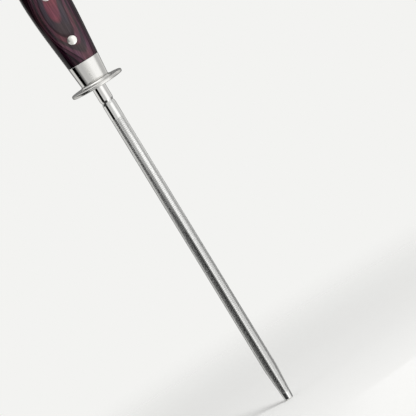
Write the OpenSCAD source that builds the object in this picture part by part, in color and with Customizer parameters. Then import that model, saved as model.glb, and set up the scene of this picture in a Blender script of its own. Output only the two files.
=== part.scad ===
// Knife sharpening steel with a full-tang riveted handle.
// The rod points down, the handle points up, and the wide faces of the handle look along Y.
// The origin is the centre of the guard's lower face, on the axis of the rod.

/* [Rod] */
// Diameter of the rod at its smooth shank
rod_d = 8.8; // [7:0.1:13]
// Length of the rod below the guard
rod_len = 230; // [180:1:320]
// Length of the smooth shank between the groove and the ribs
shank_len = 10.1; // [5:0.1:20]
// Number of lengthwise ribs
rib_count = 36; // [24:2:60]
// How far the tops of the ribs lie below the surface of the shank
rib_drop = 0.05; // [0.02:0.01:0.1]
// Depth of the grooves between the ribs
rib_depth = 0.13; // [0.05:0.01:0.25]
// Width of the grooves between the ribs
rib_gap = 0.22; // [0.1:0.01:0.4]
// Length of the tapered end
taper_len = 23; // [12:1:40]
// Length at the very end that has no ribs
tip_len = 5; // [2:0.5:8]
// Diameter that the rod tapers to at its end
tip_d = 5.8; // [4:0.1:6.5]
// Chamfer around the end face
tip_chamfer = 0.6; // [0.2:0.1:1.2]
// Diameter of the tail that runs up through the collar, guard and bolster
tail_d = 6; // [4:0.1:6.5]
// Depth that the tail enters the bolster
tail_in = 9; // [5:0.5:11]

/* [Collar and guard] */
// Outer diameter of the collar
collar_d = 9; // [8.5:0.1:12]
// Length of the collar from the guard to the bottom of the groove
collar_len = 11.75; // [8:0.25:18]
// Diameter at the bottom of the groove
groove_d = 7.75; // [7:0.05:8.2]
// Length of each sloping side of the groove
groove_side = 1.55; // [0.8:0.05:2.5]
// Depth of the recess in the guard that centres the collar
collar_recess = 0.6; // [0.3:0.1:1.2]
// Diameter of the guard disc
guard_d = 35.5; // [28:0.5:50]
// Thickness of the guard disc at its rim
guard_t = 2.2; // [1.8:0.1:4]
// Radius of the rounded rim
guard_round = 0.8; // [0.3:0.1:0.9]
// Diameter of the raised seat under the bolster
seat_d = 21.5; // [21:0.1:27]
// Height of the raised seat
seat_h = 1.3; // [0.8:0.1:3]
// Chamfer around the seat
seat_chamfer = 0.9; // [0.1:0.1:1.1]

/* [Bolster] */
// Length of the bolster
bolster_len = 14.5; // [12:0.5:22]
// Width of the bolster where it meets the guard
bolster_w = 18.6; // [15:0.1:20]
// Thickness of the bolster where it meets the guard
bolster_t = 14.8; // [12:0.1:17]

/* [Handle] */
// Width of the handle where the wood meets the bolster
neck_w = 21.2; // [20:0.1:25]
// Thickness of the handle where the wood meets the bolster
neck_t = 17.4; // [15:0.1:20]
// Length of the wooden scales
wood_len = 90; // [84:1:120]
// Distance from the bolster to the widest point
belly_at = 48; // [30:1:60]
// Width of the handle at its widest point
belly_w = 28.2; // [24:0.1:34]
// Thickness of the handle at its widest point
belly_t = 20.2; // [18:0.1:26]
// Width of the handle where the wood meets the end cap
butt_w = 24; // [21:0.1:30]
// Thickness of the handle where the wood meets the end cap
butt_t = 17.6; // [16:0.1:23]
// Squareness of the handle's oval section, 2 is an ellipse
oval_power = 2.25; // [2:0.05:3]
// Thickness of the tang plate between the scales
tang_t = 3; // [2:0.1:4]
// Width of the tang where it enters the bolster
nose_w = 13; // [8:0.5:14]

/* [Rivets] */
// Diameter of the rivet heads
rivet_head_d = 6.4; // [5:0.1:8]
// Distance from the bolster to the first rivet
rivet_first = 15; // [10:0.5:18]
// Distance from the last rivet to the end cap
rivet_last = 11.5; // [9:0.5:18]
// Diameter of the hollow body of a rivet
rivet_body_d = 4.6; // [4:0.1:4.8]
// Diameter of the solid post of a rivet
rivet_post_d = 3; // [2:0.1:3.4]
// Thickness of a rivet head at its edge
rivet_head_t = 1.6; // [1:0.1:2.5]
// Height of the dome on a rivet head
rivet_dome = 0.45; // [0.2:0.05:1]

/* [End cap] */
// Length of the end cap
cap_len = 10; // [8:0.5:16]
// Rounding around the end cap's flat top
cap_round = 2.5; // [1:0.1:3.5]
// Outward flare of the end cap on each side
cap_flare = 0.4; // [0:0.1:1.5]
// Diameter of the pin through the end cap and the tang
cap_pin_d = 3; // [2:0.1:3.5]

/* [Hanging ring] */
// Thickness of the ring's wire
wire_d = 3; // [2.4:0.1:3.6]
// Width of the ring between the middles of its two legs
ring_w = 18; // [15:0.5:24]
// Reach of the ring from its pivot to the middle of its far wire
ring_reach = 17; // [15:0.5:26]
// Bend radius at the two corners of the ring
ring_corner = 3.5; // [3:0.5:6]
// Metal of the tang around the ring's hole
eye_wall = 2.6; // [2:0.1:4]

/* [Fits] */
// Gap at each glued end of the scales
glue_gap = 0.1; // [0.05:0.05:0.3]
// Radial clearance of pressed and soldered round parts
press_gap = 0.02; // [0.01:0.01:0.04]
// Clearance on each side of the tang in its slots
slot_gap = 0.05; // [0.02:0.01:0.1]
// Radial clearance of the ring's wire in its hole
pivot_gap = 0.08; // [0.03:0.01:0.1]
// Gap under the ring where it lies on the end cap
lay_gap = 0.3; // [0.2:0.05:0.5]

/* [Hidden] */
$fn = 64;

// Heights along the axis
z_guard_top = guard_t + seat_h;
z_wood = z_guard_top + bolster_len;
z_cap = z_wood + wood_len;
z_cap_top = z_cap + cap_len;
z_shank = -collar_len - groove_side;
z_ribs = z_shank - shank_len;
z_taper = -rod_len + taper_len;
z_tip = -rod_len + tip_len;
z_tail = z_guard_top + tail_in;

// The rod's radius at a height in its tapered end, and over the ribs above it
function taper_r(z) = tip_d / 2 + (rod_d - tip_d) / 2 * (z + rod_len) / taper_len;
rib_r = rod_d / 2 - rib_drop;

// The ring's hole, just above the flat of the end cap
z_pivot = z_cap_top + lay_gap + wire_d / 2;
eye_hole_d = wire_d + 2 * pivot_gap;
eye_r = eye_hole_d / 2 + eye_wall;
cap_pin_z = z_cap + cap_len / 2;

// A smooth curve between two values with a slope at each end
function blend(a, b, slope_a, slope_b, length, x) =
    let (u = x / length, v = 1 - u)
    a * (1 + 2 * u) * v * v + b * u * u * (3 - 2 * u)
        + slope_a * length * u * v * v - slope_b * length * u * u * v;

// Half width and half thickness of the handle at a distance x from the bolster
neck_slope_w = (neck_w - bolster_w) / 2 / bolster_len;
neck_slope_t = (neck_t - bolster_t) / 2 / bolster_len;
function half_size(x, neck, neck_slope, belly, butt) =
    x < belly_at
        ? blend(neck, belly, neck_slope, 0, belly_at, x)
        : blend(belly, butt, 0, 0, wood_len - belly_at, x - belly_at);
function half_w(x) = half_size(x, neck_w / 2, neck_slope_w, belly_w / 2, butt_w / 2);
function half_t(x) = half_size(x, neck_t / 2, neck_slope_t, belly_t / 2, butt_t / 2);

// The section of the handle: two half ovals with the flat edge of the tang between them.
// A half has its points from one edge of the tang to the other.
oval_steps = 32;
function bent(value) = sign(value) * pow(abs(value), 2 / oval_power);
function half_oval(w, t) = [
    for (i = [0:oval_steps])
        let (a = 180 * i / oval_steps)
        [w * bent(cos(a)), tang_t / 2 + (t - tang_t / 2) * bent(max(sin(a), 0))]
];
function full_oval(w, t) = concat(half_oval(w, t), [for (p = half_oval(w, t)) -p]);

// Joins outlines with the same number of points into one solid, from the first height up
module loft(outlines, heights) {
    count = len(outlines[0]);
    last = len(outlines) - 1;
    polyhedron(
        points = [for (k = [0:last]) for (p = outlines[k]) [p[0], p[1], heights[k]]],
        faces = concat(
            [[for (i = [0:count - 1]) i]],
            [for (k = [0:last - 1]) for (i = [0:count - 1])
                let (j = (i + 1) % count)
                [k * count + i, (k + 1) * count + i, (k + 1) * count + j, k * count + j]],
            [[for (i = [count - 1:-1:0]) last * count + i]]
        )
    );
}

// The places along the scales where their outline is worked out
wood_steps = 24;
wood_x = [for (i = [0:wood_steps]) glue_gap + (wood_len - 2 * glue_gap) * i / wood_steps];

// One land and one groove after another around the rod, drawn in to a radius over the lands
function rib_outline(r) =
    let (step = 360 / rib_count, land = step - rib_gap / (2 * PI * rib_r) * 360,
         deep = r * (1 - rib_depth / rib_r))
    [for (i = [0:rib_count - 1]) for (p = [[-land / 2, r], [land / 2, r], [step / 2, deep]])
        [p[1] * cos(i * step + p[0]), p[1] * sin(i * step + p[0])]];

module ribbed_rod() {
    over = 1;
    color("silver") {
        loft([rib_outline(taper_r(z_tip - over) - rib_drop), rib_outline(rib_r), rib_outline(rib_r)],
             [z_tip - over, z_taper, z_ribs + over]);
        rotate_extrude()
            polygon([
                [0, z_ribs], [rod_d / 2, z_ribs], [rod_d / 2, z_shank], [groove_d / 2, -collar_len],
                [tail_d / 2, -collar_len], [tail_d / 2, z_tail], [0, z_tail]
            ]);
        rotate_extrude()
            polygon([
                [0, -rod_len], [tip_d / 2 - tip_chamfer, -rod_len],
                [taper_r(tip_chamfer - rod_len), tip_chamfer - rod_len],
                [taper_r(z_tip), z_tip], [0, z_tip]
            ]);
    }
}

module collar() {
    color("gainsboro")
        rotate_extrude()
            polygon([
                [tail_d / 2 + press_gap, -collar_len], [groove_d / 2, -collar_len],
                [collar_d / 2, groove_side - collar_len], [collar_d / 2, collar_recess],
                [tail_d / 2 + press_gap, collar_recess]
            ]);
}

module guard() {
    bore_r = tail_d / 2 + press_gap;
    recess_r = collar_d / 2 + press_gap;
    rim = guard_d / 2 - guard_round;
    color("gainsboro")
        rotate_extrude() {
            translate([recess_r, 0])
                square([rim - recess_r, guard_t]);
            translate([rim - guard_round, guard_round])
                square([2 * guard_round, guard_t - 2 * guard_round]);
            for (y = [guard_round, guard_t - guard_round])
                translate([rim, y])
                    circle(guard_round);
            polygon([
                [bore_r, collar_recess], [recess_r, collar_recess], [recess_r, guard_t / 2],
                [seat_d / 2, guard_t / 2], [seat_d / 2, z_guard_top - seat_chamfer],
                [seat_d / 2 - seat_chamfer, z_guard_top], [bore_r, z_guard_top]
            ]);
        }
}

// The slot that the tang fits, upright and centred on the axis
module tang_slot(width, low, high) {
    translate([-width / 2 - slot_gap, -tang_t / 2 - slot_gap, low])
        cube([width + 2 * slot_gap, tang_t + 2 * slot_gap, high - low]);
}

module bolster() {
    over = 1;
    color("gainsboro")
        difference() {
            loft([full_oval(bolster_w / 2, bolster_t / 2), full_oval(neck_w / 2, neck_t / 2)],
                 [z_guard_top, z_wood]);
            translate([0, 0, z_guard_top - over])
                cylinder(r = tail_d / 2 + press_gap, h = tail_in + over);
            tang_slot(nose_w, z_tail, z_wood + over);
        }
}

// The tang's outline between the scales, point by point up one side and down the other
tang_side = concat(
    [[half_w(0), z_wood]],
    [for (x = wood_x) [half_w(x), z_wood + x]],
    [[half_w(wood_len), z_cap]]
);

module tang() {
    over = 1;
    color("silver")
        difference() {
            rotate([90, 0, 0])
                linear_extrude(tang_t, center = true) {
                    polygon(concat(
                        tang_side,
                        [for (i = [len(tang_side) - 1:-1:0]) [-tang_side[i][0], tang_side[i][1]]]
                    ));
                    translate([-nose_w / 2, z_tail])
                        square([nose_w, z_wood - z_tail + over]);
                    translate([-eye_r, z_cap - over])
                        square([2 * eye_r, z_pivot - z_cap + over]);
                    translate([0, z_pivot])
                        circle(eye_r);
                }
            for (i = [0:rivets - 1])
                across(rivet_z(i), rivet_body_d / 2 + press_gap, tang_t + over);
            across(cap_pin_z, cap_pin_d / 2 + press_gap, tang_t + over);
            across(z_pivot, eye_hole_d / 2, tang_t + over);
        }
}

// A round bar or hole along Y, centred on the axis
module across(z, r, length) {
    translate([0, 0, z])
        rotate([90, 0, 0])
            cylinder(r = r, h = length, center = true);
}

// The heights of the rivets, which are spread evenly and counted from the bolster
rivets = 3;
function rivet_z(i) = z_wood + rivet_first + i * (wood_len - rivet_first - rivet_last) / (rivets - 1);

// The distance from the middle of the handle to the flat under a rivet's head, whose dome
// stands level with the wood at its edge
function rivet_seat(i) =
    let (x = rivet_z(i) - z_wood, reach = rivet_head_d / 2 / half_w(x),
         drop = 1 - pow(1 - pow(reach, oval_power), 1 / oval_power))
    half_t(x) - drop * (half_t(x) - tang_t / 2) - rivet_head_t;

module scale() {
    over = 2;
    difference() {
        loft([for (x = wood_x) half_oval(half_w(x), half_t(x))],
             [for (x = wood_x) z_wood + x]);
        for (i = [0:rivets - 1]) {
            across(rivet_z(i), rivet_body_d / 2 + press_gap, 2 * rivet_seat(i) + over);
            translate([0, rivet_seat(i), rivet_z(i)])
                rotate([-90, 0, 0])
                    cylinder(r = rivet_head_d / 2 + press_gap, h = belly_t);
        }
    }
}

module scale_front() {
    color([0.36, 0.16, 0.2])
        mirror([0, 1, 0])
            scale();
}

module scale_back() {
    color([0.36, 0.16, 0.2])
        scale();
}

// A rivet's head, from its flat at zero up to its dome
module rivet_head() {
    r = rivet_head_d / 2;
    dome_r = (r * r + rivet_dome * rivet_dome) / (2 * rivet_dome);
    intersection() {
        cylinder(r = r, h = rivet_head_t + rivet_dome);
        translate([0, 0, rivet_head_t + rivet_dome - dome_r])
            sphere(dome_r);
    }
}

// The solid half of a rivet, with its head on the front scale
module rivet_post(i) {
    color("white")
        translate([0, 0, rivet_z(i)])
            rotate([90, 0, 0]) {
                translate([0, 0, rivet_seat(i)])
                    rivet_head();
                translate([0, 0, tang_t / 2])
                    cylinder(d = rivet_body_d, h = rivet_seat(i) - tang_t / 2);
                translate([0, 0, rivet_head_t - rivet_seat(i)])
                    cylinder(d = rivet_post_d, h = rivet_seat(i) - rivet_head_t + tang_t);
            }
}

// The hollow half of a rivet, with its head on the back scale
module rivet_socket(i) {
    over = 1;
    color("white")
        translate([0, 0, rivet_z(i)])
            rotate([-90, 0, 0])
                difference() {
                    union() {
                        translate([0, 0, rivet_seat(i)])
                            rivet_head();
                        translate([0, 0, -tang_t / 2])
                            cylinder(d = rivet_body_d,
                                     h = rivet_seat(i) + (tang_t + rivet_head_t) / 2);
                    }
                    translate([0, 0, -tang_t / 2 - over])
                        cylinder(r = rivet_post_d / 2 + press_gap,
                                 h = rivet_seat(i) + tang_t / 2 + over);
                }
}

module end_cap() {
    over = 1;
    steps = 8;
    low_w = butt_w / 2;
    low_t = butt_t / 2;
    straight = cap_len - cap_round;
    // The side flares out, then a quarter of a circle rolls it over to the flat top
    rise = concat([0], [for (i = [0:steps]) straight + cap_round * sin(90 * i / steps)]);
    grow = concat([0], [for (i = [0:steps]) cap_flare - cap_round * (1 - cos(90 * i / steps))]);
    color("gainsboro")
        difference() {
            loft([for (g = grow) full_oval(low_w + g, low_t + g)], [for (h = rise) z_cap + h]);
            tang_slot(2 * eye_r, z_cap - over, z_cap_top + over);
            across(cap_pin_z, cap_pin_d / 2 + press_gap, 2 * belly_t);
        }
}

module cap_pin() {
    side = butt_t / 2 + cap_flare * (cap_pin_z - z_cap) / (cap_len - cap_round);
    color("white")
        across(cap_pin_z, cap_pin_d / 2, 2 * side);
}

// A bend in the wire of the ring, around the origin
module wire_bend(r, angle) {
    rotate_extrude(angle = angle)
        translate([r, 0])
            circle(d = wire_d);
}

// The ring with its straight bar on the X axis and its arch towards +Y
module ring_flat() {
    arch_r = ring_w / 2;
    leg = ring_reach - arch_r;
    bar = ring_w - 2 * ring_corner;
    translate([-bar / 2, 0, 0])
        rotate([0, 90, 0])
            cylinder(d = wire_d, h = bar);
    for (side = [0, 1])
        mirror([side, 0, 0]) {
            translate([bar / 2, ring_corner, 0])
                rotate([0, 0, -90])
                    wire_bend(ring_corner, 90);
            translate([arch_r, ring_corner, 0])
                rotate([-90, 0, 0])
                    cylinder(d = wire_d, h = leg - ring_corner);
        }
    translate([0, leg, 0])
        wire_bend(arch_r, 180);
}

// The ring lies on the end cap, with its bar through the tang and its arch towards +X
module hanging_ring() {
    color("whitesmoke")
        translate([0, 0, z_pivot])
            rotate([0, 0, -90])
                ring_flat();
}

ribbed_rod();
collar();
guard();
bolster();
tang();
scale_front();
scale_back();
rivet_post(0);  // rivet_post_1
rivet_post(1);  // rivet_post_2
rivet_post(2);  // rivet_post_3
rivet_socket(0);  // rivet_socket_1
rivet_socket(1);  // rivet_socket_2
rivet_socket(2);  // rivet_socket_3
end_cap();
cap_pin();
hanging_ring();
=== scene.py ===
"""The looks of a knife sharpening steel: a ribbed steel rod with a collar and a guard disc, and a
full-tang handle of dyed laminated wood with steel rivets, a steel end cap and a hanging ring.
Lengths are in metres."""
import math

import bmesh
import bpy
from mathutils import Matrix, Vector


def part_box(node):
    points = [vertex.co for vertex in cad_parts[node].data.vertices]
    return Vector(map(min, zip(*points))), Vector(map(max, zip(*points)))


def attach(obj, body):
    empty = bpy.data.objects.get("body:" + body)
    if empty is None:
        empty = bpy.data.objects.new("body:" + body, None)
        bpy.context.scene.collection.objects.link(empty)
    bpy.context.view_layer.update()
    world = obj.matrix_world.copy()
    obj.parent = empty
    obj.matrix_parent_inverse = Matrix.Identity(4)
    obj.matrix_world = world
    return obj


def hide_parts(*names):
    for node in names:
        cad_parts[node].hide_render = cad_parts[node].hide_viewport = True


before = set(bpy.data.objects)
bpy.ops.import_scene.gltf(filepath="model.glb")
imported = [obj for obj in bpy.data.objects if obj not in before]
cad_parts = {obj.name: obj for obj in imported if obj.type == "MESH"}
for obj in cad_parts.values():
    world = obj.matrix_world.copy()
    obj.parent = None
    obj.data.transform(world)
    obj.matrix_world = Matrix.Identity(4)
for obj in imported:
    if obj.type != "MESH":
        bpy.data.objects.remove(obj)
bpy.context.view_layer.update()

MM = 0.001

# ---------------------------------------------------------------- sizes that the boxes of the nodes give
ROD_LOW, ROD_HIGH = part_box("ribbed_rod")
COLLAR_LOW, COLLAR_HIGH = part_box("collar")
GUARD_LOW, GUARD_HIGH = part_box("guard")
BOLSTER_LOW, BOLSTER_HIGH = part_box("bolster")
WOOD_LOW, WOOD_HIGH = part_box("scale_back")
TANG_LOW, TANG_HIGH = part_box("tang")
CAP_LOW, CAP_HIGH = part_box("end_cap")
RING_LOW, RING_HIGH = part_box("hanging_ring")

ROD_R = ROD_HIGH.x
TANG_HALF = TANG_HIGH.y
NECK_Z = BOLSTER_HIGH.z
CAP_Z = CAP_LOW.z
WOOD_LEN = CAP_Z - NECK_Z
RING_Z = (RING_LOW.z + RING_HIGH.z) / 2
WIRE_R = (RING_HIGH.z - RING_LOW.z) / 2

# ---------------------------------------------------------------- sizes of the small forms
FOOT_W, FOOT_T = 9.3 * MM, 7.4 * MM          # half width and half thickness of the bolster at the guard
CAP_FLARE = 0.4 * MM                         # how far the end cap flares out on each side
CAP_ROUND = 2.5 * MM                         # radius that rolls the end cap over to its flat top
BELLY_AT = 48 * MM                           # from the bolster to the widest place of the handle
OVAL_POWER = 2.25                            # squareness of the handle's section, 2 is an ellipse
BUTT_W, BUTT_T = CAP_HIGH.x - CAP_FLARE, CAP_HIGH.y - CAP_FLARE

RIBS = 36                                    # ribs around the rod
RIB_STEPS = 14                               # points across one rib
RIB_DROP, RIB_DEPTH = 0.05 * MM, 0.13 * MM   # lands below the shank, and grooves below the lands
RIB_GAP = 0.22 * MM                          # width of the groove between two lands
GROOVE_R, GROOVE_SIDE = 3.875 * MM, 1.55 * MM    # the bottom of the V groove under the collar, its sides
SHANK_LEN, TAPER_LEN, TIP_LEN = 10.1 * MM, 23 * MM, 5 * MM      # smooth shank, tapered end, bare tip
TIP_R, TIP_CHAMFER = 2.9 * MM, 0.6 * MM      # the rod at its very end, and the chamfer of the end face
TAIL_R = 3 * MM                              # the rod's tail inside the collar, guard and bolster
GUARD_T, GUARD_ROUND = 2.2 * MM, 0.8 * MM    # the disc at its rim, and the radius that rounds the rim
SEAT_R, SEAT_CHAMFER = 10.75 * MM, 0.9 * MM  # the raised seat under the bolster
RIVET_R, RIVET_DOME, RIVET_BODY_R = 3.2 * MM, 0.45 * MM, 2.3 * MM       # head, dome's height, body
RIVET_SUNK = 0.2 * MM                        # how far the rim of a rivet's dome lies under the wood
RIVET_HEAD = 1.6 * MM                        # how deep a rivet's head reaches under its dome
PIN_R, EYE_R = 1.5 * MM, 4.18 * MM           # the pin in the end cap, and the tang around the ring's hole
NOSE_W = 6.5 * MM                            # half width of the tang inside the bolster
RING_CORNER = 3.5 * MM                       # radius of the two bends of the ring's wire
RIB_RUN_OUT, RIB_START = 1.2 * MM, 0.08 * MM    # how far the ribs take to run out, and their first step
FIT, LOOSE, RING_FIT = 0.02 * MM, 0.05 * MM, 0.08 * MM      # clearances: pressed, slid on, running
OVER = 1 * MM                                # how far a cutter reaches past what it cuts
MERGE, NEAR = 0.002 * MM, 0.05 * MM          # points this close become one, or count as level

# Radii of the small roundings that polishing leaves along the edges
COLLAR_EDGE, SEAT_EDGE, BOLSTER_EDGE = 0.12 * MM, 0.15 * MM, 0.3 * MM
WOOD_EDGE, TANG_EDGE, RIVET_EDGE = 0.2 * MM, 0.12 * MM, 0.12 * MM
CAP_EDGE, PIN_EDGE = 0.25 * MM, 0.1 * MM

# ---------------------------------------------------------------- mesh helpers


def finished(name, mesh_edit, node, body, material, sharp=40.0, even=True):
    """Turns a bmesh into a piece that rides on a body and stands for a CAD node."""
    bmesh.ops.remove_doubles(mesh_edit, verts=mesh_edit.verts, dist=MERGE)
    bmesh.ops.recalc_face_normals(mesh_edit, faces=mesh_edit.faces)
    mesh = bpy.data.meshes.new(name)
    mesh_edit.to_mesh(mesh)
    mesh_edit.free()
    piece = bpy.data.objects.new(name, mesh)
    bpy.context.scene.collection.objects.link(piece)
    mesh.shade_smooth()
    mesh.set_sharp_from_angle(angle=math.radians(sharp))
    if even:
        # Flat faces keep flat shading right up to their rounded edges
        weighted = piece.modifiers.new("Even shading", "WEIGHTED_NORMAL")
        weighted.keep_sharp = True
    mesh.materials.append(material)
    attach(piece, body)
    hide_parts(node)
    return piece


def bevel(mesh_edit, width, segments, chosen):
    """Rounds the edges that the test chosen picks."""
    edges = [edge for edge in mesh_edit.edges if len(edge.link_faces) == 2 and chosen(edge)]
    bmesh.ops.bevel(mesh_edit, geom=edges, offset=width, offset_type="OFFSET", affect="EDGES",
                    segments=segments, profile=0.5, material=-1, clamp_overlap=True)


def sharp_edge(degrees=40.0):
    """A test that picks the edges that turn by more than an angle."""
    return lambda edge: edge.calc_face_angle(0.0) > math.radians(degrees)


def from_axis(edge):
    """How far the start of an edge lies from the Z axis."""
    return edge.verts[0].co.xy.length


def lathe(profile, steps=96, closed=False):
    """Turns a profile of (radius, height) points about Z. An open one starts and ends on the axis."""
    mesh_edit = bmesh.new()
    points = [mesh_edit.verts.new((radius, 0.0, height)) for radius, height in profile]
    pairs = list(zip(points, points[1:]))
    if closed:
        pairs.append((points[-1], points[0]))
    edges = [mesh_edit.edges.new(pair) for pair in pairs]
    bmesh.ops.spin(mesh_edit, geom=points + edges, cent=(0, 0, 0), axis=(0, 0, 1), dvec=(0, 0, 0),
                   angle=math.tau, steps=steps, use_merge=True, use_duplicate=False)
    bmesh.ops.remove_doubles(mesh_edit, verts=mesh_edit.verts, dist=MERGE)
    bmesh.ops.recalc_face_normals(mesh_edit, faces=mesh_edit.faces)
    return mesh_edit


def drawn_on(mesh_edit, rim, move):
    """Draws a rim of edges on by a straight move, and gives the new rim."""
    grown = bmesh.ops.extrude_edge_only(mesh_edit, edges=rim)["geom"]
    moved = [item for item in grown if isinstance(item, bmesh.types.BMVert)]
    bmesh.ops.translate(mesh_edit, vec=move, verts=moved)
    return [item for item in grown if isinstance(item, bmesh.types.BMEdge)]


def tube(steps, heights, half=False):
    """A closed upright tube of radius 1 with a ring of points at each height; half keeps its +Y side."""
    mesh_edit = bmesh.new()
    bmesh.ops.create_circle(mesh_edit, cap_ends=True, segments=steps, radius=1.0)
    if half:
        everything = mesh_edit.verts[:] + mesh_edit.edges[:] + mesh_edit.faces[:]
        bmesh.ops.bisect_plane(mesh_edit, geom=everything, dist=1e-5, plane_co=(0, 0, 0),
                               plane_no=(0, -1, 0), clear_outer=True)
    bmesh.ops.translate(mesh_edit, vec=(0, 0, heights[0]), verts=mesh_edit.verts)
    rim = [edge for edge in mesh_edit.edges if edge.is_boundary]
    for low, high in zip(heights, heights[1:]):
        rim = drawn_on(mesh_edit, rim, (0, 0, high - low))
    bmesh.ops.holes_fill(mesh_edit, edges=rim, sides=0)
    return mesh_edit


def cut(piece, *cutters):
    """Cuts shapes out of a finished piece, for good."""
    for cutter in cutters:
        mesh = bpy.data.meshes.new("cutter")
        bmesh.ops.recalc_face_normals(cutter, faces=cutter.faces)
        cutter.to_mesh(mesh)
        cutter.free()
        tool = bpy.data.objects.new("cutter", mesh)
        bpy.context.scene.collection.objects.link(tool)
        boolean = piece.modifiers.new("Cut", "BOOLEAN")
        boolean.operation = "DIFFERENCE"
        boolean.solver = "EXACT"
        boolean.object = tool
        while piece.modifiers[0] != boolean:
            piece.modifiers.move(len(piece.modifiers) - 1, 0)
        with bpy.context.temp_override(object=piece, active_object=piece):
            bpy.ops.object.modifier_apply(modifier=boolean.name)
        bpy.data.objects.remove(tool)
        bpy.data.meshes.remove(mesh)


def turned_to_y(mesh_edit, z, side=1):
    """Turns an upright form to point along Y, away from the middle on one side, at a height."""
    bmesh.ops.rotate(mesh_edit, cent=(0, 0, 0), matrix=Matrix.Rotation(-side * math.pi / 2, 3, "X"),
                     verts=mesh_edit.verts)
    bmesh.ops.translate(mesh_edit, vec=(0, 0, z), verts=mesh_edit.verts)
    return mesh_edit


def bar_along_y(radius, low, high, z):
    """A round bar along Y, as a cutter or a pin."""
    return turned_to_y(lathe([(0, low), (radius, low), (radius, high), (0, high)], 64), z)


def block(low, high):
    """A box between two corners, as a cutter."""
    mesh_edit = bmesh.new()
    low, high = Vector(low), Vector(high)
    size = high - low
    bmesh.ops.create_cube(mesh_edit, size=1.0)
    bmesh.ops.scale(mesh_edit, vec=size, verts=mesh_edit.verts)
    bmesh.ops.translate(mesh_edit, vec=(low + high) / 2, verts=mesh_edit.verts)
    return mesh_edit


# ---------------------------------------------------------------- the handle's form


def blend(start, end, start_slope, end_slope, length, x):
    """A smooth curve between two values with a slope at each end."""
    u = x / length
    v = 1 - u
    return (start * (1 + 2 * u) * v * v + end * u * u * (3 - 2 * u)
            + start_slope * length * u * v * v - end_slope * length * u * u * v)


def half_size(x, foot, neck, belly, butt):
    """Half the handle's width or thickness at a distance x from the bolster."""
    slope = (neck - foot) / (NECK_Z - GUARD_HIGH.z)
    if x < BELLY_AT:
        return blend(neck, belly, slope, 0, BELLY_AT, x)
    return blend(belly, butt, 0, 0, WOOD_LEN - BELLY_AT, x - BELLY_AT)


def half_w(z):
    """Half the width of the handle at a height."""
    return half_size(z - NECK_Z, FOOT_W, BOLSTER_HIGH.x, WOOD_HIGH.x, BUTT_W)


def half_t(z):
    """Half the thickness of the handle at a height."""
    return half_size(z - NECK_Z, FOOT_T, BOLSTER_HIGH.y, WOOD_HIGH.y, BUTT_T)


def bent(value):
    """A point of the unit circle moved out to the handle's squarer oval, for one axis."""
    return math.copysign(abs(value) ** (2 / OVAL_POWER), value)


def shape_oval(mesh_edit, width_at, thickness_at):
    """Gives each ring of a tube the handle's oval section: two half ovals on either side of the tang."""
    for vert in mesh_edit.verts:
        x, y, z = vert.co
        edge = math.copysign(TANG_HALF, y) if abs(y) > 1e-6 else 0.0
        vert.co.x = width_at(z) * bent(x)
        vert.co.y = edge + (thickness_at(z) - TANG_HALF) * bent(y)


def spread(low, high, count):
    """Evenly spread values from low to high."""
    return [low + (high - low) * i / (count - 1) for i in range(count)]


def between(low, high, start, end):
    """A straight change from one value to another as z goes from low to high."""
    return lambda z: start + (end - start) * (z - low) / (high - low)


# ---------------------------------------------------------------- materials


def hex_colour(code):
    """An sRGB hex code as a linear colour."""
    parts = [int(code[i:i + 2], 16) / 255 for i in (0, 2, 4)]
    return (*[p / 12.92 if p <= 0.04045 else ((p + 0.055) / 1.055) ** 2.4 for p in parts], 1.0)


def add(tree, kind, inputs=None, **settings):
    """Adds a shader node, with its settings, and its inputs as values or as links from other sockets."""
    node = tree.nodes.new("ShaderNode" + kind)
    for name, value in settings.items():
        setattr(node, name, value)
    for key, value in (inputs or {}).items():
        if isinstance(value, bpy.types.NodeSocket):
            tree.links.new(value, node.inputs[key])
        else:
            node.inputs[key].default_value = value
    return node


def new_material(name):
    """An empty material with its output node."""
    material = bpy.data.materials.new(name)
    material.use_nodes = True
    material.node_tree.nodes.clear()
    return material, material.node_tree, material.node_tree.nodes.new("ShaderNodeOutputMaterial")


def in_millimetres(tree, stretch=(1, 1, 1)):
    """The place on the object in millimetres, stretched along its axes."""
    place = add(tree, "TexCoord").outputs["Object"]
    scale = tuple(1 / MM * part for part in stretch)
    return add(tree, "Mapping", {"Vector": place, "Scale": scale}, vector_type="POINT").outputs["Vector"]


POLISH_CLOUDS = (0.12, 0.12, 0.05)      # patches of uneven polish, about 8 mm across and 20 mm long


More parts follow.
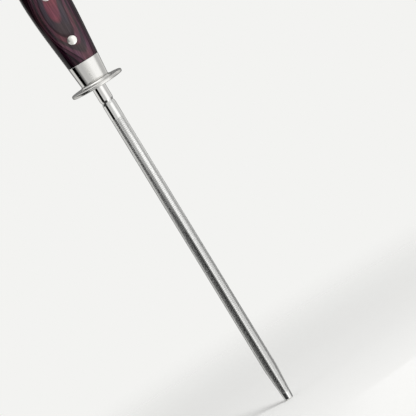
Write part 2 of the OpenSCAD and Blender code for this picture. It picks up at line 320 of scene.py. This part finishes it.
def steel(name, colour, roughness, spread_of_roughness, lines, line_depth, groove_painted_shade=None):
    """Bare steel with fine finishing lines: lines gives their repeats for each mm of X, Y and Z, and
    line_depth their depth in mm. Real ones are finer than a view can show, so they are drawn coarser."""
    material, tree, output = new_material(name)
    grain = add(tree, "TexNoise", {"Vector": in_millimetres(tree, lines), "Scale": 1.0, "Detail": 3.0,
                                   "Roughness": 0.6})
    cloud = add(tree, "TexNoise", {"Vector": in_millimetres(tree, POLISH_CLOUDS), "Scale": 1.0,
                                   "Detail": 2.0})
    # The sum of two noises, each about a half, lies mostly between 0.7 and 1.3
    mixed = add(tree, "Math", {0: grain.outputs["Fac"], 1: cloud.outputs["Fac"]}, operation="ADD")
    rough = add(tree, "MapRange", {"Value": mixed.outputs[0], "From Min": 0.7, "From Max": 1.3,
                                   "To Min": roughness - spread_of_roughness,
                                   "To Max": roughness + spread_of_roughness})
    relief = add(tree, "Bump", {"Height": grain.outputs["Fac"], "Strength": 1.0,
                                "Distance": line_depth * MM})
    shader = add(tree, "BsdfPrincipled", {"Base Color": hex_colour(colour), "Metallic": 1.0,
                                          "Roughness": rough.outputs["Result"],
                                          "Normal": relief.outputs["Normal"]})
    if groove_painted_shade:
        # The mesh of the rod tells how deep in a groove each point lies, and the colour is darkened there as
        # painted shade
        groove = add(tree, "Attribute", attribute_name="groove", attribute_type="GEOMETRY")
        groove_shade_mix = add(tree, "Mix", {0: groove.outputs["Fac"], 6: hex_colour(colour),
                                         7: hex_colour(groove_painted_shade)}, data_type="RGBA")
        tree.links.new(groove_shade_mix.outputs[2], shader.inputs["Base Color"])
    tree.links.new(shader.outputs["BSDF"], output.inputs["Surface"])
    return material


# The shallow waves of the veneers, in mm along the handle and in mm of depth, their twist and bow
# across the handle's width, and their tilt along it
WAVE_LEN, WAVE_AT, WAVE = 80.0, 42.0, 0.76
TWIST_AT, TWIST, STEADY_TWIST = 29.0, 0.19, 0.13
BOW, TILT = 0.011, 0.0115
RUN_OUT_AT, RUN_OUT_FROM, RUN_OUT = 17.0, 41.0, 1.9     # near the bolster they rise to the surface
WANDER = 0.35                                           # how far they wander at random, either way
# Where along X, in mm, the painted shade on the handle's sides begins and reaches its full depth, and how
# dark it gets there
PAINTED_SHADE_FROM, PAINTED_SHADE_TO, PAINTED_SIDE_SHADE = 5.0, 12.0, 0.42

# The sizes of the wood's patterns, as repeats for each mm of X, Y and Z
WANDER_SIZE = (0.11, 0.05, 0.035)       # the veneers wander over 10 to 30 mm
DYE_SIZE = (0.13, 0.13, 0.05)           # patches of dye, about 8 mm across and 20 mm long
FIBRE_SIZE = (0.8, 0.8, 0.035)          # fibres 30 mm long, drawn 1.2 mm wide, as finer ones wouldn't show

# Thickness of the dyed veneers from the tang outwards, in mm, and their colours
VENEERS = (
    (0.5, "140610"), (0.7, "26111e"), (0.4, "140710"), (1.1, "2a1320"), (0.9, "150710"),
    (0.9, "3f2433"), (0.3, "230f1a"), (0.9, "583a49"), (0.9, "3a3036"), (0.9, "573744"),
    (0.35, "2e2028"), (0.9, "3a323a"), (2.3, "683945"),
)


def laminated_wood():
    """Dyed hardwood veneers pressed into a block with resin, shaped, then polished and lacquered.
    The veneers lie along the tang in long shallow waves, so the curved sides cut them into nested
    lines, and the lacquer gives soft reflections over deep wine, plum and slate colours."""
    material, tree, output = new_material("laminated_wood")
    parts = add(tree, "SeparateXYZ", {"Vector": in_millimetres(tree)})
    across = parts.outputs["X"]

    def maths(operation, *values):
        return add(tree, "Math", dict(enumerate(values)), operation=operation).outputs[0]

    def wave(at, depth):
        turn = maths("MULTIPLY_ADD", parts.outputs["Z"], math.tau / WAVE_LEN, -math.tau * at / WAVE_LEN)
        return maths("MULTIPLY", maths("SINE", turn), depth)

    # How far the veneers rise, from the depth at the tang: waves, a twist that comes and goes, a bow
    twist = maths("ADD", wave(TWIST_AT, -TWIST), STEADY_TWIST)
    bow = maths("MULTIPLY", maths("MULTIPLY", across, across), -BOW)
    tilt = maths("MULTIPLY_ADD", parts.outputs["Z"], -TILT, TILT * WAVE_AT)
    run_out = add(tree, "MapRange", {"Value": parts.outputs["Z"], "From Min": RUN_OUT_AT,
                                     "From Max": RUN_OUT_FROM, "To Min": -RUN_OUT, "To Max": 0.0},
                  interpolation_type="SMOOTHSTEP").outputs["Result"]
    rise = maths("ADD", maths("ADD", wave(WAVE_AT, WAVE), maths("MULTIPLY", across, twist)),
                 maths("ADD", maths("ADD", bow, tilt), run_out))
    wander = add(tree, "TexNoise", {"Vector": in_millimetres(tree, WANDER_SIZE), "Scale": 1.0,
                                    "Detail": 3.0, "Roughness": 0.5})
    uneven = maths("MULTIPLY_ADD", wander.outputs["Fac"], 2 * WANDER, -WANDER)
    level = maths("ADD", maths("ADD", maths("ABSOLUTE", parts.outputs["Y"]), rise), uneven)
    total = sum(thickness for thickness, _ in VENEERS)
    share = add(tree, "MapRange", {"Value": level, "From Min": TANG_HALF / MM,
                                   "From Max": TANG_HALF / MM + total})
    ramp = add(tree, "ValToRGB", {"Fac": share.outputs["Result"]})
    stops = ramp.color_ramp.elements
    reach = 0.0
    for number, (thickness, colour) in enumerate(VENEERS):
        soft = min(0.25 * thickness, 0.12)
        for edge in (reach + soft, reach + thickness - soft):
            stop = stops[0] if number == 0 and edge == reach + soft else stops.new(edge / total)
            stop.position = edge / total
            stop.color = hex_colour(colour)
        reach += thickness
    stops.remove(stops[-1])
    fibre = add(tree, "TexNoise", {"Vector": in_millimetres(tree, FIBRE_SIZE), "Scale": 1.0,
                                   "Detail": 5.0, "Roughness": 0.65})
    tint = add(tree, "MapRange", {"Value": fibre.outputs["Fac"], "From Min": 0.36, "From Max": 0.64,
                                  "To Min": 0.6, "To Max": 1.4})
    # The dye takes unevenly, so some places are warmer
    dye = add(tree, "TexNoise", {"Vector": in_millimetres(tree, DYE_SIZE), "Scale": 1.0,
                                 "Detail": 2.0})
    warm = add(tree, "MapRange", {"Value": dye.outputs["Fac"], "From Min": 0.4, "From Max": 0.62})
    dyed = add(tree, "Mix", {0: warm.outputs["Result"], 6: (1.0, 1.0, 1.0, 1.0),
                             7: (1.1, 1.02, 0.85, 1.0)}, data_type="RGBA")
    # Painted shade: the colour is darkened towards the handle's sides, standing in for the light that falls
    # off there
    painted_flank_shade = add(tree, "MapRange", {"Value": maths("ABSOLUTE", across), "From Min": PAINTED_SHADE_FROM,
                                     "From Max": PAINTED_SHADE_TO, "To Min": 1.0, "To Max": PAINTED_SIDE_SHADE})
    # The fibre tint and the painted shade on the sides, together
    shade = maths("MULTIPLY", tint.outputs["Result"], painted_flank_shade.outputs["Result"])
    coloured = add(tree, "VectorMath", {0: ramp.outputs["Color"], 1: dyed.outputs[2]}, operation="MULTIPLY")
    shaded = add(tree, "VectorMath", {0: coloured.outputs["Vector"], "Scale": shade}, operation="SCALE")
    relief = add(tree, "Bump", {"Height": fibre.outputs["Fac"], "Strength": 0.5, "Distance": 0.01 * MM})
    # Only the lacquer reflects, and the wood under it is matt
    shader = add(tree, "BsdfPrincipled", {"Base Color": shaded.outputs["Vector"], "Roughness": 0.5,
                                          "Specular IOR Level": 0.0, "Coat Weight": 0.6,
                                          "Coat Roughness": 0.14, "Coat IOR": 1.45,
                                          "Normal": relief.outputs["Normal"]})
    tree.links.new(shader.outputs["BSDF"], output.inputs["Surface"])
    return material


# Hard-chromed carbon steel, ground along the rod: bright, with fine lengthwise lines; a painted shade
# darkens its colour deep in the grooves, so the ribs stand out
ROD_STEEL = steel("ground_rod_steel", "dcdcda", 0.12, 0.03, (5, 5, 0.05), 0.0012, groove_painted_shade="6c6c6b")
# Buffed 18/8 stainless steel: a near mirror that buffing has softened a little
POLISHED_STEEL = steel("polished_stainless_steel", "dddcda", 0.08, 0.025, (3, 3, 0.9), 0.0006)
# The tang's edge, belt-ground flush with the wood: satin, with lines along the handle
TANG_STEEL = steel("ground_tang_steel", "c6c5c2", 0.3, 0.06, (5, 5, 0.15), 0.004)
# The cast bolster, polished as bright as the collar but a little greyer
CAST_STEEL = steel("polished_cast_steel", "d3d2cf", 0.1, 0.025, (3, 3, 0.9), 0.0007)
# The guard, satin turned: its reflections are soft
SATIN_STEEL = steel("satin_stainless_steel", "d3d2cf", 0.23, 0.03, (3, 3, 3), 0.0015)
# Rivets of stainless steel, polished in place with the handle: bright, in soft spots
RIVET_STEEL = steel("polished_rivet_steel", "dcdad5", 0.13, 0.03, (2.5, 2.5, 2.5), 0.001)
# Drawn stainless wire: bright, with reflections that its fine drawing lines blur a little
WIRE_STEEL = steel("drawn_stainless_wire", "d6d6d4", 0.15, 0.04, (1.5, 1.5, 1.5), 0.001)
WOOD = laminated_wood()


# ---------------------------------------------------------------- the rod, the collar and the guard


def ribbed_rod():
    """The rod in one turned piece: tail, groove, smooth shank, ribs that run out at both ends, and tip."""
    shank_z = COLLAR_LOW.z - GROOVE_SIDE
    ribs_z = shank_z - SHANK_LEN
    taper_z = ROD_LOW.z + TAPER_LEN
    tip_z = ROD_LOW.z + TIP_LEN
    land_r = ROD_R - RIB_DROP
    end_r = between(ROD_LOW.z, taper_z, TIP_R, ROD_R)
    # Each station has a height, a radius and the share of the groove depth there
    stations = [
        (ROD_HIGH.z, TAIL_R, 0), (COLLAR_LOW.z, TAIL_R, 0), (COLLAR_LOW.z - 0.001 * MM, GROOVE_R, 0),
        (shank_z, ROD_R, 0), (ribs_z, ROD_R, 0), (ribs_z - RIB_START, land_r, 0.25),
        (ribs_z - RIB_RUN_OUT / 2, land_r, 0.8), (ribs_z - RIB_RUN_OUT, land_r, 1),
        (taper_z, land_r, 1), (tip_z + RIB_RUN_OUT, end_r(tip_z + RIB_RUN_OUT) - RIB_DROP, 1),
        (tip_z + RIB_RUN_OUT / 2, end_r(tip_z + RIB_RUN_OUT / 2) - RIB_DROP, 0.8),
        (tip_z + RIB_START, end_r(tip_z) - RIB_DROP, 0.25), (tip_z, end_r(tip_z), 0),
        (ROD_LOW.z + TIP_CHAMFER, end_r(ROD_LOW.z + TIP_CHAMFER), 0), (ROD_LOW.z, TIP_R - TIP_CHAMFER, 0),
    ]
    form = {round(z / MM, 4): (radius, depth) for z, radius, depth in stations}
    half_gap = RIB_GAP / (math.tau * land_r / RIBS) / 2
    mesh_edit = tube(RIBS * RIB_STEPS, [z for z, _, _ in stations])
    in_groove = mesh_edit.verts.layers.float.new("groove")
    for vert in mesh_edit.verts:
        radius, depth = form[round(vert.co.z / MM, 4)]
        across = (math.atan2(vert.co.y, vert.co.x) / math.tau * RIBS) % 1
        groove = max(0.0, 1 - abs(across - 0.5) / half_gap)
        # This depth also sets how much painted shade the rod's material puts into the groove
        vert[in_groove] = depth * min(1.0, 2 * groove)
        scale = radius - depth * RIB_DEPTH * radius / ROD_R * groove
        vert.co.x *= scale
        vert.co.y *= scale
    return finished("ribbed_rod_finish", mesh_edit, "ribbed_rod", "steel", ROD_STEEL,
                    sharp=12, even=False)


def collar():
    """The collar under the guard, with a sloping side down to the groove."""
    low, high = COLLAR_LOW.z, COLLAR_HIGH.z
    radius = COLLAR_HIGH.x
    bore = TAIL_R + FIT
    mesh_edit = lathe([(bore, low), (GROOVE_R, low), (radius, low + GROOVE_SIDE), (radius, high),
                       (bore, high)], closed=True)
    bevel(mesh_edit, COLLAR_EDGE, 2,
          lambda edge: sharp_edge(20)(edge) and from_axis(edge) > radius * 0.9)
    return finished("collar_finish", mesh_edit, "collar", "steel", POLISHED_STEEL)


def guard():
    """The guard disc with a rounded rim, and the raised seat that the bolster stands on."""
    bore, recess = TAIL_R + FIT, COLLAR_HIGH.x + FIT
    low, high = GUARD_LOW.z, GUARD_HIGH.z
    rim = GUARD_HIGH.x
    mesh_edit = lathe([(bore, COLLAR_HIGH.z), (recess, COLLAR_HIGH.z), (recess, low), (rim, low),
                       (rim, low + GUARD_T), (SEAT_R, low + GUARD_T), (SEAT_R, high - SEAT_CHAMFER),
                       (SEAT_R - SEAT_CHAMFER, high), (bore, high)], steps=160, closed=True)
    bevel(mesh_edit, GUARD_ROUND, 5, lambda edge: sharp_edge()(edge) and from_axis(edge) > rim * 0.99)
    above_disc = low + GUARD_T + NEAR
    bevel(mesh_edit, SEAT_EDGE, 3,
          lambda edge: (sharp_edge(30)(edge) and edge.verts[0].co.z > above_disc
                        and from_axis(edge) > SEAT_R * 0.9))
    return finished("guard_finish", mesh_edit, "guard", "steel", SATIN_STEEL)


# ---------------------------------------------------------------- the handle


def bolster():
    """The bolster between the guard and the wood, bored for the rod's tail and slotted for the tang."""
    low, high = BOLSTER_LOW.z, BOLSTER_HIGH.z
    mesh_edit = tube(128, [low, high])
    shape_oval(mesh_edit, between(low, high, FOOT_W, BOLSTER_HIGH.x),
               between(low, high, FOOT_T, BOLSTER_HIGH.y))
    bevel(mesh_edit, BOLSTER_EDGE, 3, sharp_edge())
    piece = finished("bolster_finish", mesh_edit, "bolster", "steel", CAST_STEEL)
    bore = TAIL_R + FIT
    tail = lathe([(0, low - OVER), (bore, low - OVER), (bore, ROD_HIGH.z), (0, ROD_HIGH.z)])
    slot = block((-NOSE_W, -TANG_HALF, ROD_HIGH.z), (NOSE_W, TANG_HALF, high + OVER))
    cut(piece, tail, slot)
    return piece


def rivet_pairs():
    """The names of the two nodes of each rivet, the solid half on the front and the hollow half behind."""
    count = sum(name.startswith("rivet_post_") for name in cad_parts)
    return [(f"rivet_post_{n}", f"rivet_socket_{n}") for n in range(1, count + 1)]


def rivet_place(node):
    """A rivet's height, the farthest reach of its head from the handle's middle, and of the head's flat."""
    low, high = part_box(node)
    reach = max(abs(low.y), abs(high.y))
    return (low.z + high.z) / 2, reach, reach - RIVET_DOME - RIVET_HEAD


def scale(node, side):
    """One wooden scale, from the tang out to its rounded face, with a seat for each rivet's head."""
    mesh_edit = tube(128, spread(WOOD_LOW.z, WOOD_HIGH.z, 61), half=True)
    shape_oval(mesh_edit, half_w, half_t)
    for vert in mesh_edit.verts:
        vert.co.y = max(vert.co.y, TANG_HALF)
    bevel(mesh_edit, WOOD_EDGE, 2, sharp_edge(60))
    if side < 0:
        bmesh.ops.rotate(mesh_edit, cent=(0, 0, 0), matrix=Matrix.Rotation(math.pi, 3, "Z"),
                         verts=mesh_edit.verts)
    piece = finished(node + "_finish", mesh_edit, node, "steel", WOOD)
    body, head = RIVET_BODY_R + FIT, RIVET_R + FIT
    for post, _ in rivet_pairs():
        z, reach, seat = rivet_place(post)
        bore = lathe([(0, 0), (body, 0), (body, seat), (head, seat), (head, 2 * reach), (0, 2 * reach)], 64)
        cut(piece, turned_to_y(bore, z, side))
    return piece


def rivet(node, side):
    """Half a rivet: a domed head, its rim just under the wood, on a body that meets the tang."""
    z, reach, seat = rivet_place(node)
    rise = RIVET_DOME + RIVET_SUNK
    rim = reach - rise
    dome_r = (RIVET_R ** 2 + rise ** 2) / (2 * rise)
    steps = 12
    dome = []
    for i in range(steps + 1):
        radius = RIVET_R * (1 - i / steps)
        dome.append((radius, reach - dome_r + math.sqrt(dome_r ** 2 - radius ** 2)))
    mesh_edit = lathe([(0, TANG_HALF), (RIVET_BODY_R, TANG_HALF), (RIVET_BODY_R, seat), (RIVET_R, seat)]
                      + dome, 64)
    bevel(mesh_edit, RIVET_EDGE, 2,
          lambda edge: sharp_edge()(edge) and edge.verts[0].co.z > rim - NEAR)
    turned_to_y(mesh_edit, z, side)
    return finished(node + "_finish", mesh_edit, node, "steel", RIVET_STEEL)


def tang():
    """The flat tang, whose edges show as a line between the scales, with its nose in the bolster and the
    eye for the ring above the end cap."""
    sides = [(half_w(z), z) for z in spread(NECK_Z, CAP_Z, 61)]
    eye = [(EYE_R * math.cos(math.pi * i / 24), RING_Z + EYE_R * math.sin(math.pi * i / 24))
           for i in range(25)]
    right = [(NOSE_W, TANG_LOW.z), (NOSE_W, NECK_Z)] + sides + [(EYE_R, CAP_Z)]
    left = [(-x, z) for x, z in reversed(right)]
    mesh_edit = bmesh.new()
    points = [mesh_edit.verts.new((x, -TANG_HALF, z)) for x, z in right + eye + left]
    face = bmesh.ops.contextual_create(mesh_edit, geom=points)["faces"]
    grown = bmesh.ops.extrude_face_region(mesh_edit, geom=face)["geom"]
    back = [item for item in grown if isinstance(item, bmesh.types.BMVert)]
    bmesh.ops.translate(mesh_edit, vec=(0, 2 * TANG_HALF, 0), verts=back)
    bevel(mesh_edit, TANG_EDGE, 1,
          lambda edge: sharp_edge(60)(edge) and abs(edge.verts[0].co.y - edge.verts[1].co.y) < MM)
    piece = finished("tang_finish", mesh_edit, "tang", "steel", TANG_STEEL)
    holes = [(rivet_place(post)[0], RIVET_BODY_R + FIT) for post, _ in rivet_pairs()]
    holes += [((CAP_LOW.z + CAP_HIGH.z) / 2, PIN_R + FIT), (RING_Z, WIRE_R + RING_FIT)]
    for z, radius in holes:
        cut(piece, bar_along_y(radius, -TANG_HALF - OVER, TANG_HALF + OVER, z))
    return piece


def end_cap():
    """The steel end cap: its sides flare out, then roll over to a flat top with a slot for the tang."""
    low, high = CAP_LOW.z, CAP_HIGH.z
    straight = high - CAP_ROUND
    # The top edge rolls over in a quarter circle of ten steps
    rolled = [straight + CAP_ROUND * math.sin(math.pi / 20 * i) for i in range(1, 11)]
    mesh_edit = tube(128, [low, straight] + rolled)

    def grow(z):
        if z <= straight:
            return CAP_FLARE * (z - low) / (straight - low)
        share = min(1.0, (z - straight) / CAP_ROUND)
        return CAP_FLARE - CAP_ROUND * (1 - math.sqrt(1 - share ** 2))

    shape_oval(mesh_edit, lambda z: BUTT_W + grow(z), lambda z: BUTT_T + grow(z))
    bevel(mesh_edit, CAP_EDGE, 2,
          lambda edge: sharp_edge()(edge) and edge.verts[0].co.z < low + NEAR)
    piece = finished("end_cap_finish", mesh_edit, "end_cap", "steel", POLISHED_STEEL)
    slot_w, slot_t = EYE_R + LOOSE, TANG_HALF + LOOSE
    slot = block((-slot_w, -slot_t, low - OVER), (slot_w, slot_t, high + OVER))
    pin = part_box("cap_pin")[1].y + OVER
    cut(piece, slot, bar_along_y(PIN_R + FIT, -pin, pin, (low + high) / 2))
    return piece


def cap_pin():
    """The pin that holds the end cap on the tang, filed flush with the cap."""
    low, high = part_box("cap_pin")
    mesh_edit = bar_along_y(PIN_R, low.y, high.y, (low.z + high.z) / 2)
    bevel(mesh_edit, PIN_EDGE, 2, sharp_edge())
    return finished("cap_pin_finish", mesh_edit, "cap_pin", "steel", RIVET_STEEL)


def hanging_ring():
    """The ring of round wire: a straight bar through the tang, two bent corners, two legs and an arch."""
    half = RING_HIGH.y - WIRE_R
    leg = RING_HIGH.x - WIRE_R - half
    mesh_edit = bmesh.new()
    bmesh.ops.create_circle(mesh_edit, segments=32, radius=WIRE_R,
                            matrix=Matrix.Rotation(math.pi / 2, 4, "X"))
    rim = mesh_edit.edges[:]

    def bent_round(rim, centre, angle, steps):
        ends = list(dict.fromkeys(vert for edge in rim for vert in edge.verts))
        grown = bmesh.ops.spin(mesh_edit, geom=ends + rim, cent=centre, axis=(0, 0, 1),
                               dvec=(0, 0, 0), angle=angle, steps=steps)["geom_last"]
        return [item for item in grown if isinstance(item, bmesh.types.BMEdge)]

    rim = drawn_on(mesh_edit, rim, (0, half - RING_CORNER, 0))
    rim = bent_round(rim, (RING_CORNER, half - RING_CORNER, 0), -math.pi / 2, 12)
    rim = drawn_on(mesh_edit, rim, (leg - RING_CORNER, 0, 0))
    rim = bent_round(rim, (leg, 0, 0), -math.pi, 48)
    rim = drawn_on(mesh_edit, rim, (RING_CORNER - leg, 0, 0))
    rim = bent_round(rim, (RING_CORNER, RING_CORNER - half, 0), -math.pi / 2, 12)
    drawn_on(mesh_edit, rim, (0, half - RING_CORNER, 0))
    bmesh.ops.translate(mesh_edit, vec=(0, 0, RING_Z), verts=mesh_edit.verts)
    return finished("hanging_ring_finish", mesh_edit, "hanging_ring", "ring", WIRE_STEEL,
                    even=False)


# ---------------------------------------------------------------- camera, floor and light

CAMERA_AZIMUTH = math.radians(-6.8)     # the camera looks from a little to the left of -Y
CAMERA_RISE = math.radians(5.9)         # and from a little above the level of its target
LEAN = math.radians(31.4)               # how far the steel's top leans to the left in the view
DISTANCE = 4.0                          # from the camera to its target
SEEN = 0.259                            # width of the view at the steel
AIM_DOWN = 101.2 * MM                   # the target lies this far below the guard
AIM_RIGHT = 18.7 * MM                   # and this far to the camera's right
PALE = "f3f3f1"                         # the backdrop and the floor
FLOOR_R, FLOOR_GAP = 0.6, 0.2 * MM      # the round floor, and how far it lies under the tip
FLOOR_FADE = (0.12, 0.5)                # distances from the tip where it begins and ends to turn clear
CARD_R = 0.45                           # how far most studio cards stand from the steel

# The lowest and the highest height of a card, by what it is for
WHOLE_STEEL = (-0.6, 0.25)
FOOT_SIDE = (-0.6, -0.05)
BOLSTER_DOWN = (-0.6, -0.04)
ROD_ONLY = (-0.34, -0.03)
HANDLE_ONLY = (-0.04, 0.25)
HANDLE_FADE = (-0.032, -0.004)          # where the handle's cards begin and end to appear


def make_camera():
    """A camera a little to the left and above, rolled so that the steel leans."""
    data = bpy.data.cameras.new("camera")
    data.lens = data.sensor_width * DISTANCE / SEEN
    camera = bpy.data.objects.new("camera", data)
    bpy.context.scene.collection.objects.link(camera)
    back = Vector((math.sin(CAMERA_AZIMUTH) * math.cos(CAMERA_RISE),
                   -math.cos(CAMERA_AZIMUTH) * math.cos(CAMERA_RISE), math.sin(CAMERA_RISE)))
    level = Vector((math.cos(CAMERA_AZIMUTH), math.sin(CAMERA_AZIMUTH), 0))
    upright = back.cross(level)
    right = level * math.cos(LEAN) - upright * math.sin(LEAN)
    up = level * math.sin(LEAN) + upright * math.cos(LEAN)
    target = level * AIM_RIGHT + Vector((0, 0, -AIM_DOWN))
    place = Matrix((right, up, back)).transposed().to_4x4()
    place.translation = target + back * DISTANCE
    camera.matrix_world = place
    bpy.context.scene.camera = camera


def round_the_steel(angle, radius, z):
    """A point round the steel: angle 0 is on the camera's side, and more is to the camera's right."""
    turn = CAMERA_AZIMUTH + math.radians(angle)
    return Vector((radius * math.sin(turn), -radius * math.cos(turn), z))


def card(name, middle, width, soft, heights, glow, radius=CARD_R, fade=None):
    """A curved studio card round the steel that only reflections see. It is dark or bright and its two
    upright edges are soft, with angles in degrees; fade gives the height where it is clear and the
    height where it is full."""
    reach = (width + soft) / 2
    mesh_edit = bmesh.new()
    post = [mesh_edit.verts.new(round_the_steel(middle - reach, radius, z)) for z in heights]
    edge = mesh_edit.edges.new(post)
    bmesh.ops.spin(mesh_edit, geom=post + [edge], cent=(0, 0, 0), axis=(0, 0, 1), dvec=(0, 0, 0),
                   angle=math.radians(2 * reach), steps=round(reach))
    piece = staged(name, mesh_edit)
    material, tree, output = new_material(name)
    # The angle from the card's middle
    place = add(tree, "TexCoord").outputs["Object"]
    turn = add(tree, "VectorRotate", {"Vector": place, "Angle": -CAMERA_AZIMUTH - math.radians(middle)},
               rotation_type="Z_AXIS")
    parts = add(tree, "SeparateXYZ", {"Vector": turn.outputs["Vector"]})
    ahead = add(tree, "Math", {0: parts.outputs["Y"], 1: -1.0}, operation="MULTIPLY")
    angle = add(tree, "Math", {0: parts.outputs["X"], 1: ahead.outputs[0]}, operation="ARCTAN2")
    aside = add(tree, "Math", {0: angle.outputs[0]}, operation="ABSOLUTE")
    shown = add(tree, "MapRange", {"Value": aside.outputs[0], "From Min": math.radians((width - soft) / 2),
                                   "From Max": math.radians(reach), "To Min": 1.0, "To Max": 0.0},
                interpolation_type="SMOOTHSTEP").outputs["Result"]
    if fade is not None:
        strength = add(tree, "MapRange", {"Value": parts.outputs["Z"], "From Min": fade[0],
                                          "From Max": fade[1]})
        shown = add(tree, "Math", {0: shown, 1: strength.outputs["Result"]}, operation="MULTIPLY").outputs[0]
    light = add(tree, "Emission", {"Strength": glow})
    clear = add(tree, "BsdfTransparent")
    mixed = add(tree, "MixShader", {0: shown, 1: clear.outputs["BSDF"], 2: light.outputs["Emission"]})
    tree.links.new(mixed.outputs[0], output.inputs["Surface"])
    piece.data.materials.append(material)
    only_in_reflections(piece)


def overhead(name, radius, height, glow, rim_glow, fade):
    """A round card over the steel that only reflections see. Its bright middle lights up the edges that
    face up; fade gives the distances from its middle where it starts and ends to turn darker."""
    mesh_edit = bmesh.new()
    bmesh.ops.create_circle(mesh_edit, cap_ends=True, segments=64, radius=radius,
                            matrix=Matrix.Translation((0, 0, height)))
    piece = staged(name, mesh_edit)
    material, tree, output = new_material(name)
    place = add(tree, "TexCoord").outputs["Object"]
    middle = add(tree, "VectorMath", {0: place, 1: (0, 0, height)}, operation="SUBTRACT")
    away = add(tree, "VectorMath", {0: middle.outputs["Vector"]}, operation="LENGTH")
    strength = add(tree, "MapRange", {"Value": away.outputs["Value"], "From Min": fade[0],
                                      "From Max": fade[1], "To Min": glow, "To Max": rim_glow},
                   interpolation_type="SMOOTHSTEP")
    light = add(tree, "Emission", {"Strength": strength.outputs["Result"]})
    tree.links.new(light.outputs["Emission"], output.inputs["Surface"])
    piece.data.materials.append(material)
    only_in_reflections(piece)


def staged(name, mesh_edit):
    """A bmesh as a part of the studio."""
    mesh = bpy.data.meshes.new(name)
    mesh_edit.to_mesh(mesh)
    mesh_edit.free()
    piece = bpy.data.objects.new(name, mesh)
    bpy.context.scene.collection.objects.link(piece)
    return piece


def only_in_reflections(piece):
    """Hides a card from everything but reflections."""
    for kind in ("camera", "diffuse", "transmission", "volume_scatter", "shadow"):
        setattr(piece, "visible_" + kind, False)


def make_world():
    """A pale backdrop for the camera and for reflections, and a plain soft light for the rest."""
    world = bpy.data.worlds.new("studio")
    bpy.context.scene.world = world
    world.use_nodes = True
    tree = world.node_tree
    tree.nodes.clear()
    output = tree.nodes.new("ShaderNodeOutputWorld")
    path = add(tree, "LightPath")
    seen = add(tree, "Math", {0: path.outputs["Is Camera Ray"], 1: path.outputs["Is Glossy Ray"]},
               operation="MAXIMUM")
    seen = add(tree, "Math", {0: seen.outputs[0], 1: path.outputs["Is Transmission Ray"]},
               operation="MAXIMUM")
    soft = add(tree, "Background", {"Color": hex_colour("ffffff"), "Strength": 0.5})
    backdrop = add(tree, "Background", {"Color": hex_colour(PALE), "Strength": 1.0})
    mixed = add(tree, "MixShader", {0: seen.outputs[0], 1: soft.outputs[0], 2: backdrop.outputs[0]})
    tree.links.new(mixed.outputs[0], output.inputs["Surface"])


def make_floor():
    """A pale floor just under the tip that fades into the backdrop and keeps the steel's shadow."""
    material, tree, output = new_material("pale_floor")
    place = add(tree, "TexCoord").outputs["Object"]
    middle = add(tree, "VectorMath", {0: place, 1: (0, 0, ROD_LOW.z)}, operation="SUBTRACT")
    away = add(tree, "VectorMath", {0: middle.outputs["Vector"]}, operation="LENGTH")
    fade = add(tree, "MapRange", {"Value": away.outputs["Value"], "From Min": FLOOR_FADE[0],
                                  "From Max": FLOOR_FADE[1]}, interpolation_type="SMOOTHSTEP")
    paint = add(tree, "BsdfPrincipled", {"Base Color": hex_colour(PALE), "Roughness": 0.7,
                                         "Specular IOR Level": 0.2})
    clear = add(tree, "BsdfTransparent")
    mixed = add(tree, "MixShader", {0: fade.outputs["Result"], 1: paint.outputs["BSDF"],
                                    2: clear.outputs["BSDF"]})
    tree.links.new(mixed.outputs[0], output.inputs["Surface"])
    mesh_edit = bmesh.new()
    bmesh.ops.create_circle(mesh_edit, cap_ends=True, segments=96, radius=FLOOR_R,
                            matrix=Matrix.Translation((0, 0, ROD_LOW.z - FLOOR_GAP)))
    floor = staged("floor", mesh_edit)
    floor.data.materials.append(material)
    # Reflections show the backdrop in the floor's place, which has the same colour
    floor.visible_glossy = False


def make_lamp(name, angle, height, radius, size, power):
    """A soft square lamp that looks at the guard; the cards give its reflection."""
    data = bpy.data.lights.new(name, "AREA")
    data.shape = "SQUARE"
    data.size = size
    data.energy = power
    lamp = bpy.data.objects.new(name, data)
    bpy.context.scene.collection.objects.link(lamp)
    lamp.location = round_the_steel(angle, radius, height)
    lamp.rotation_euler = (lamp.location * -1).to_track_quat("-Z", "Y").to_euler()
    lamp.visible_glossy = False


# ---------------------------------------------------------------- the whole

make_camera()
make_world()
make_floor()
make_lamp("key_lamp", angle=45, height=0.9, radius=1.2, size=0.7, power=16)
make_lamp("fill_lamp", angle=-60, height=0.4, radius=1.4, size=0.9, power=3)
# Each card is given by the angle of its middle, its width, its soft edge, its heights and its glow
card("dark_flag", -62, 44, 8, WHOLE_STEEL, 0.0)
card("softbox", 36, 44, 22, WHOLE_STEEL, 1.4)
card("side_card", 86, 44, 20, WHOLE_STEEL, 0.72)
card("grey_card", -14, 30, 20, WHOLE_STEEL, 0.72, radius=0.44)
card("back_card", 180, 84, 40, WHOLE_STEEL, 0.2)
card("foot_flag", -50, 96, 34, ROD_ONLY, 0.05, radius=0.145, fade=(-0.06, -0.13))
card("foot_side_card", 118, 70, 30, FOOT_SIDE, 0.3, radius=0.43, fade=(-0.08, -0.2))
card("rod_softbox", 36, 44, 22, ROD_ONLY, 1.8, radius=0.155, fade=(-0.035, -0.06))
card("foot_softbox", 56, 56, 30, ROD_ONLY, 1.1, radius=0.15, fade=(-0.07, -0.17))
card("bolster_card", -38, 14, 14, BOLSTER_DOWN, 0.3, radius=0.438, fade=(-0.055, -0.085))
card("handle_flag", -24, 26, 14, HANDLE_ONLY, 0.25, radius=0.435, fade=HANDLE_FADE)
card("handle_side_flag", -92, 60, 44, HANDLE_ONLY, 0.05, radius=0.425, fade=HANDLE_FADE)
overhead("top_softbox", radius=1.2, height=0.8, glow=2.0, rim_glow=0.8, fade=(0.18, 0.5))

ribbed_rod()
collar()
guard()
bolster()
scale("scale_front", -1)
scale("scale_back", 1)
tang()
for post, socket in rivet_pairs():
    rivet(post, -1)
    rivet(socket, 1)
end_cap()
cap_pin()
hanging_ring()

view_settings = bpy.context.scene.view_settings
view_settings.view_transform = "Standard"
